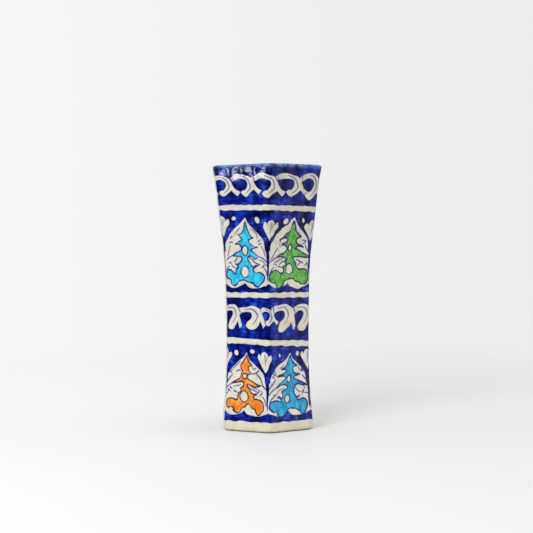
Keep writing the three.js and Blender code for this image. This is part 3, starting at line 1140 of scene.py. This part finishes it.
def build_walls(material):
    section = wall_section()
    count = FACE_COUNT * COLUMNS_PER_FACE
    laps = np.arange(count) / COLUMNS_PER_FACE
    surface = wall_surface(section, laps)
    top = int(np.nonzero(section[:, 0] == section[:, 0].max())[0][0])
    painting = painted(laps, section[: top + 1, 0])
    crest = reed_height(2 * (laps - np.floor(laps)) - 1)
    for face, side in enumerate(FACE_NAMES):
        columns = (np.arange(COLUMNS_PER_FACE + 1) + face * COLUMNS_PER_FACE) % count
        positions = surface[:, columns]
        layers = panel_layers(painting, columns, section, top, crest)
        mesh = panel_mesh(f"wall_{side}", positions, layers)
        add_bake_map(mesh, panel_map(positions))
        mesh.materials.append(material)
        piece = new_object(f"wall_{side}", mesh)
        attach(piece, "root")
        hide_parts(f"wall_panel_{side}")


def panel_layers(painting, columns, section, top, crest):
    """Paint and clay values for every point of one wall, inside included."""
    shape = (len(section), len(columns))
    layers = {name: np.full(shape, -FAR) for name in ("tint", "edge", "line", "wash")}
    for name, values in layers.items():
        values[: top + 1] = getattr(painting, name)[:, columns]
    reserve = np.full(shape, FAR)
    reserve[: top + 1] = painting.reserve[:, columns]
    below_lip = HEIGHT - section[top:, 0] - LIP_RISE * 0.5
    laps = painting.laps[columns][None, :]
    edge = wander(laps, 0, 71, INNER_COBALT_SHAKE, shortest=20) + INNER_COBALT_DEPTH
    reserve[top:] = np.clip(below_lip[:, None] - edge, -FAR, FAR)
    pigment = np.zeros(shape)
    pigment[: top + 1] = painting.pigment[:, columns]
    bare = np.zeros(shape)
    bare[0] = 1
    bare[-1] = 1
    paint = np.stack([reserve, layers["tint"], layers["edge"]], axis=-1)
    lines = np.stack([layers["wash"], layers["line"], pigment], axis=-1)
    return {
        "paint": ("FLOAT_VECTOR", paint),
        "lines": ("FLOAT_VECTOR", lines),
        "crest": ("FLOAT", np.broadcast_to(crest[columns], shape)),
        "bare": ("FLOAT", bare),
    }


SLAB_RINGS = 24
SLAB_SIDES = 96
SLAB_DISH = 0.8
SLAB_ARCH = 0.5
SLAB_BEDDING = 0.4  # how far the slab runs into the walls


def slab_points():
    """Rings of points under the slab, then rings on top of it, then the two middles."""
    turns = np.linspace(0, 2 * math.pi, SLAB_SIDES, endpoint=False)
    nearest = (turns + FIRST_NORMAL_ANGLE + HALF_FACE_ANGLE) % (2 * HALF_FACE_ANGLE)
    hexagon = 1 / np.cos(nearest - HALF_FACE_ANGLE)
    reach = apothem(FLOOR_TOP) - WALL_THICKNESS + SLAB_BEDDING
    under_middle = FLOOR_RECESS + SLAB_ARCH
    top_middle = FLOOR_TOP - SLAB_DISH
    points = []
    for middle, rise in ((under_middle, -SLAB_ARCH), (top_middle, SLAB_DISH)):
        for ring in range(1, SLAB_RINGS + 1):
            out = ring / SLAB_RINGS
            radius = reach * out * (1 + (hexagon - 1) * out ** 2)
            height = middle + rise * out ** 2
            points += [(r * math.cos(t), r * math.sin(t), height) for r, t in zip(radius, turns)]
    return points + [(0, 0, under_middle), (0, 0, top_middle)]


def slab_faces():
    """The slab's underside, its top and its edge, each a list of faces."""
    sheet_size = SLAB_RINGS * SLAB_SIDES
    next_side = [(side, (side + 1) % SLAB_SIDES) for side in range(SLAB_SIDES)]
    sheets = []
    for upper in (False, True):
        base = sheet_size if upper else 0
        middle = 2 * sheet_size + (1 if upper else 0)
        order = 1 if upper else -1
        faces = []
        for i, j in next_side:
            faces.append((middle, base + i, base + j)[::order])
            for start in range(base, base + sheet_size - SLAB_SIDES, SLAB_SIDES):
                a, b = start + i, start + j
                faces.append((a, a + SLAB_SIDES, b + SLAB_SIDES, b)[::order])
        sheets.append(faces)
    low, high = sheet_size - SLAB_SIDES, 2 * sheet_size - SLAB_SIDES
    edge = [(low + i, low + j, high + j, high + i) for i, j in next_side]
    return *sheets, edge


def build_floor_slab(glaze, clay):
    """A slightly dished floor, luted to the walls all round, with bare clay underneath."""
    underside, top, edge = slab_faces()
    faces = underside + top + edge
    mesh = bpy.data.meshes.new("floor_of_vase")
    mesh.from_pydata([tuple(c * MM for c in p) for p in slab_points()], [], faces)
    mesh.materials.append(glaze)
    mesh.materials.append(clay)
    mesh.polygons.foreach_set("material_index", [1] * len(underside) + [0] * len(top + edge))
    mesh.polygons.foreach_set("use_smooth", [True] * len(faces))
    piece = new_object("floor_of_vase", mesh)
    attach(piece, "root")
    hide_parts("floor_slab")


make_camera()
make_key_light()
make_world()
make_floor()
build_walls(painted_glaze())
build_floor_slab(cream_glaze(), bare_clay())
